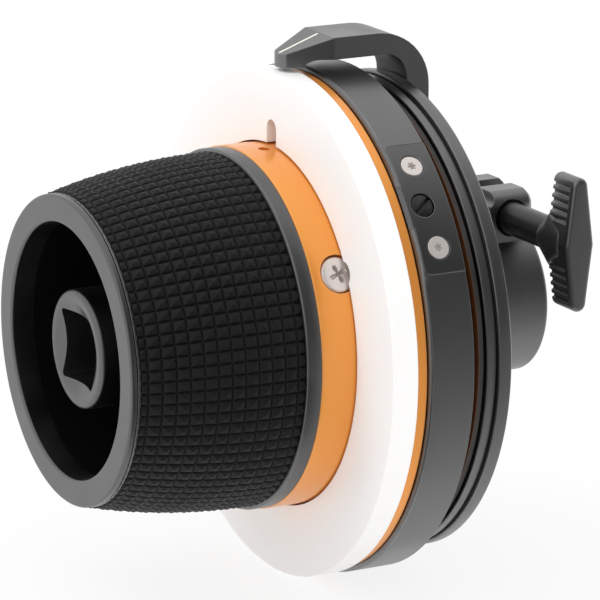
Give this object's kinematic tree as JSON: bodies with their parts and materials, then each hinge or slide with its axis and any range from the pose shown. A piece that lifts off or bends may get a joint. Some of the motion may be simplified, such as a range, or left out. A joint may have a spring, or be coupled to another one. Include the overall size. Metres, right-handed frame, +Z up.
{
  "type": "follow focus unit",
  "caption": "Hand-held camera focus drive: knurled rubber hand knob with a square crank socket, slide-off marking disc, locking stop ring, index pointer and a split rear hub with a T-handle clamp.",
  "frame": {"origin": "centre of the clamp bore in the rear face of the hub, on the main axis", "axes": "+Y along the main axis, from the knob to the rear hub; +Z up, towards the pointer; +X towards the T-handle"},
  "size_m": [0.0848, 0.0827, 0.0901],
  "materials": {
    "black_anodised": "satin",
    "grey_anodised": "satin",
    "orange_anodised": "satin",
    "gloss_black": "gloss",
    "knob_rubber": "matte",
    "seal_rubber": "satin",
    "disc_plastic": "satin",
    "line_paint": "matte",
    "acetal": "satin",
    "bright_steel": "satin",
    "spring_steel": "satin",
    "bearing_steel": "polished",
    "black_steel": "satin"
  },
  "bodies": {
    "housing": {"housing_flange": "black_anodised", "dust_seal": "seal_rubber", "index_o_ring": "seal_rubber", "front_outer_race": "bearing_steel", "front_balls": "bearing_steel", "rear_outer_race": "bearing_steel", "rear_balls": "bearing_steel", "hub_clamp": "black_anodised", "hub_screws": "black_steel", "threaded_bush": "bright_steel"},
    "knob": {"front_bezel": "grey_anodised", "cavity_liner": "gloss_black", "socket_boss": "grey_anodised", "knob_core": "grey_anodised", "rubber_grip": "knob_rubber", "collar": "grey_anodised", "drum": "orange_anodised", "drum_screws": "bright_steel", "disc_o_ring": "seal_rubber", "stop_circlip": "spring_steel", "spindle": "bright_steel", "spindle_bolt": "black_steel", "drive_pin": "bright_steel", "drum_shim": "bright_steel", "bearing_spacer": "bright_steel", "spindle_circlip": "spring_steel", "front_inner_race": "bearing_steel", "rear_inner_race": "bearing_steel"},
    "disc": {"marking_disc": "disc_plastic"},
    "stop": {"stop_ring": "black_anodised", "bridge_plate": "grey_anodised", "bridge_screws": "bright_steel"},
    "stop_brake": {"brake_pad": "acetal"},
    "stop_lock": {"set_screw": "black_steel"},
    "index": {"index_ring": "black_anodised", "pointer_arm": "black_anodised", "index_line": "line_paint", "pointer_screws": "black_steel"},
    "clamp_feed": {"thrust_washer": "black_steel"},
    "clamp_handle": {"clamp_screw": "black_steel", "t_handle": "black_anodised"}
  },
  "joints": [
    {"name": "knob_turn", "type": "hinge", "parent": "housing", "child": "knob", "pos_m": [0, -0.04558, 0], "axis": [0, 1, 0], "continuous": true},
    {"name": "disc_pull", "type": "slide", "parent": "knob", "child": "disc", "axis": [0, -1, 0], "range_m": [0, 0.045]},
    {"name": "stop_ring_turn", "type": "hinge", "parent": "knob", "child": "stop", "pos_m": [0, -0.0354, 0], "axis": [0, 1, 0], "continuous": true},
    {"name": "brake_slide", "type": "slide", "parent": "stop", "child": "stop_brake", "axis": [0.7902, 0, 0.6129], "range_m": [0, 0.00035]},
    {"name": "set_screw_turn", "type": "hinge", "parent": "stop_brake", "child": "stop_lock", "pos_m": [0.0316, -0.0358, 0.0245], "axis": [0.7902, 0, 0.6129], "range_deg": [0, 180]},
    {"name": "index_turn", "type": "hinge", "parent": "housing", "child": "index", "pos_m": [0, -0.0243, 0], "axis": [0, 1, 0], "continuous": true},
    {"name": "clamp_advance", "type": "slide", "parent": "housing", "child": "clamp_feed", "axis": [1, 0, 0], "range_m": [0, 0.00105]},
    {"name": "clamp_turn", "type": "hinge", "parent": "clamp_feed", "child": "clamp_handle", "pos_m": [0.015, -0.0042, 0.0148], "axis": [1, 0, 0], "range_deg": [0, 540]}
  ],
  "couplings": [
    {"joint": "set_screw_turn", "follows": "brake_slide", "rad_per_m": 8975.9},
    {"joint": "clamp_turn", "follows": "clamp_advance", "rad_per_m": 8975.9}
  ]
}
